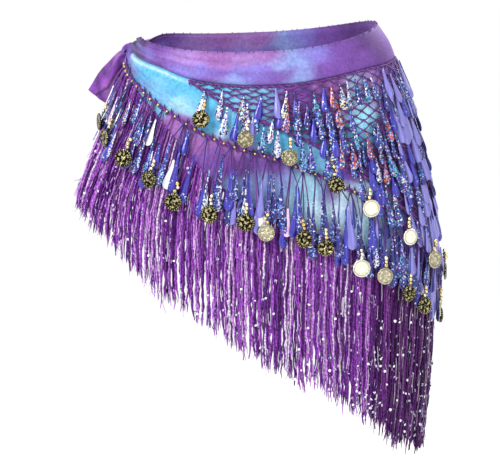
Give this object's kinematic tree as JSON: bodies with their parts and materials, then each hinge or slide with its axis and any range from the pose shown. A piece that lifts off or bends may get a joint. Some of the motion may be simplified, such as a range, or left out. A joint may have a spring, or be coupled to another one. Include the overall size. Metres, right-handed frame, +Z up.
{
  "type": "belly dance hip scarf",
  "caption": "Triangular tie-dyed hip scarf worn round the hips and knotted at one side, with a crocheted net, spangles, coins and a long yarn fringe.",
  "frame": {"origin": "the middle of the waist that holds the scarf up, level with the middle of the slanting top edge", "axes": "+Z is up along the wearer's body, -Y is the wearer's front, +X is the wearer's left hip, where the triangle's point hangs"},
  "size_m": [0.4053, 0.2744, 0.4803],
  "materials": {
    "velvet_turquoise": "tie-dyed panne velvet, turquoise running into violet, soft sheen",
    "velvet_purple": "the same velvet where it is dyed purple, folded double, soft sheen",
    "crochet_purple": "dark purple crochet cord, matte",
    "spangle_blue": "holographic blue, silver and lavender spangles with antique gold coins, glossy",
    "yarn_purple": "violet twisted yarn with silver thread, slight sheen"
  },
  "bodies": {
    "root": {"hip_panel": "velvet_turquoise", "waistband": "velvet_purple", "tie_knot": "velvet_purple", "tie_end_front": "velvet_purple", "tie_end_back": "velvet_purple", "upper_lace": "crochet_purple", "lace_row_1": "spangle_blue", "lace_row_2": "spangle_blue", "lace_row_3": "spangle_blue", "lace_row_4": "spangle_blue", "lace_edge": "spangle_blue", "beaded_chain": "spangle_blue", "hem_fringe": "yarn_purple"}
  },
  "joints": []
}
